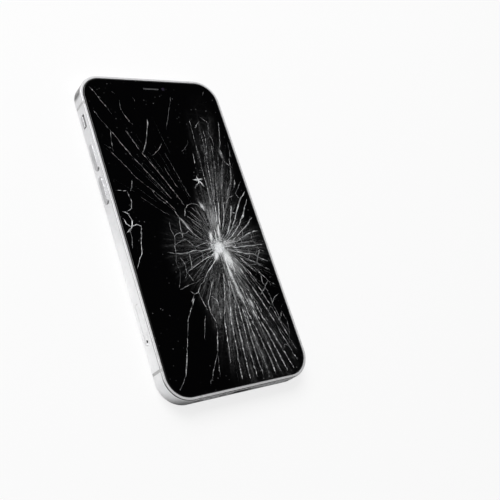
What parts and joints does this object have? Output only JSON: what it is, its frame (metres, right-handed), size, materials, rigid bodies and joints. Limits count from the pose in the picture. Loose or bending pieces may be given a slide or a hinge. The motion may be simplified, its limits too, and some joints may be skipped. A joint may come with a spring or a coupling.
{
  "type": "shattered screen phone",
  "caption": "Flat-sided phone with an aluminium band, pressed side buttons, card tray and a black front glass shattered by a blow beside its middle, lying on its back.",
  "frame": {"origin": "middle of the back face, on the surface the phone lies on", "axes": "+X to the side button, +Y to the earpiece end, +Z out of the screen"},
  "size_m": [0.0724, 0.1466, 0.0074],
  "materials": {
    "band_aluminium": "fine satin, scuffed",
    "control_aluminium": "satin, polished edge",
    "break_plastic": "matt moulded insert",
    "front_glass": "black, polished, shattered",
    "rear_glass": "polished glass, tinted from inside",
    "black_plastic": "fine moulded",
    "display": "dark panel",
    "adhesive": "soft film",
    "strips": "stretch film",
    "steel_sheet": "pressed sheet",
    "screw_steel": "turned",
    "cell": "laminated pouch",
    "flex": "polyimide film",
    "circuit_board": "solder mask",
    "contacts": "plated",
    "copper": "flat wound copper",
    "ferrite": "pressed sheet",
    "ring_metal": "polished",
    "lens_glass": "coated, dark",
    "camera_black": "anodised",
    "flash_lens": "ribbed diffuser",
    "mesh": "woven, dark"
  },
  "bodies": {
    "phone": {"mid_frame": "band_aluminium", "floor_plate": "band_aluminium", "antenna_breaks": "break_plastic", "cover_glass": "front_glass", "rear_cover": "rear_glass", "display_bezel": "black_plastic", "sensor_bracket": "black_plastic", "earpiece_speaker": "black_plastic", "loudspeaker": "black_plastic", "port_tongue": "black_plastic", "mute_switch_body": "black_plastic", "display_panel": "display", "rear_adhesive": "adhesive", "display_gasket": "adhesive", "battery_adhesive": "strips", "display_backplate": "steel_sheet", "shield_lower": "steel_sheet", "shield_upper": "steel_sheet", "connector_plate": "steel_sheet", "port_bracket": "steel_sheet", "camera_cage": "steel_sheet", "button_bracket_left": "steel_sheet", "button_bracket_right": "steel_sheet", "sim_reader": "steel_sheet", "vibration_motor": "steel_sheet", "charge_port": "steel_sheet", "board_screws": "screw_steel", "bottom_screws": "screw_steel", "bracket_screws": "screw_steel", "battery": "cell", "display_flex": "flex", "dock_flex": "flex", "battery_connector": "flex", "logic_board": "circuit_board", "board_connectors": "contacts", "rear_microphone": "contacts", "bottom_microphone": "contacts", "dome_switches": "contacts", "charging_coil": "copper", "coil_shield": "ferrite", "camera_rings": "ring_metal", "camera_windows": "lens_glass", "camera_main": "camera_black", "camera_wide": "camera_black", "front_camera": "camera_black", "light_sensor": "camera_black", "flash_led": "flash_lens", "earpiece_mesh": "mesh", "bottom_meshes": "mesh"},
    "volume_up": {"volume_up_button": "control_aluminium"},
    "volume_down": {"volume_down_button": "control_aluminium"},
    "side_key": {"side_button": "control_aluminium"},
    "mute": {"mute_switch": "control_aluminium"},
    "tray": {"sim_tray": "control_aluminium"}
  },
  "joints": [
    {"name": "volume_up_press", "type": "slide", "parent": "phone", "child": "volume_up", "axis": [1, 0, 0], "range_m": [0, 0.00035], "stiffness_N_per_m": 4000},
    {"name": "volume_down_press", "type": "slide", "parent": "phone", "child": "volume_down", "axis": [1, 0, 0], "range_m": [0, 0.00035], "stiffness_N_per_m": 4000},
    {"name": "side_button_press", "type": "slide", "parent": "phone", "child": "side_key", "axis": [-1, 0, 0], "range_m": [0, 0.00035], "stiffness_N_per_m": 4000},
    {"name": "mute_switch_slide", "type": "slide", "parent": "phone", "child": "mute", "axis": [0, 0, 1], "range_m": [0, 0.0013]},
    {"name": "sim_tray_slide", "type": "slide", "parent": "phone", "child": "tray", "axis": [-1, 0, 0], "range_m": [0, 0.013]}
  ]
}
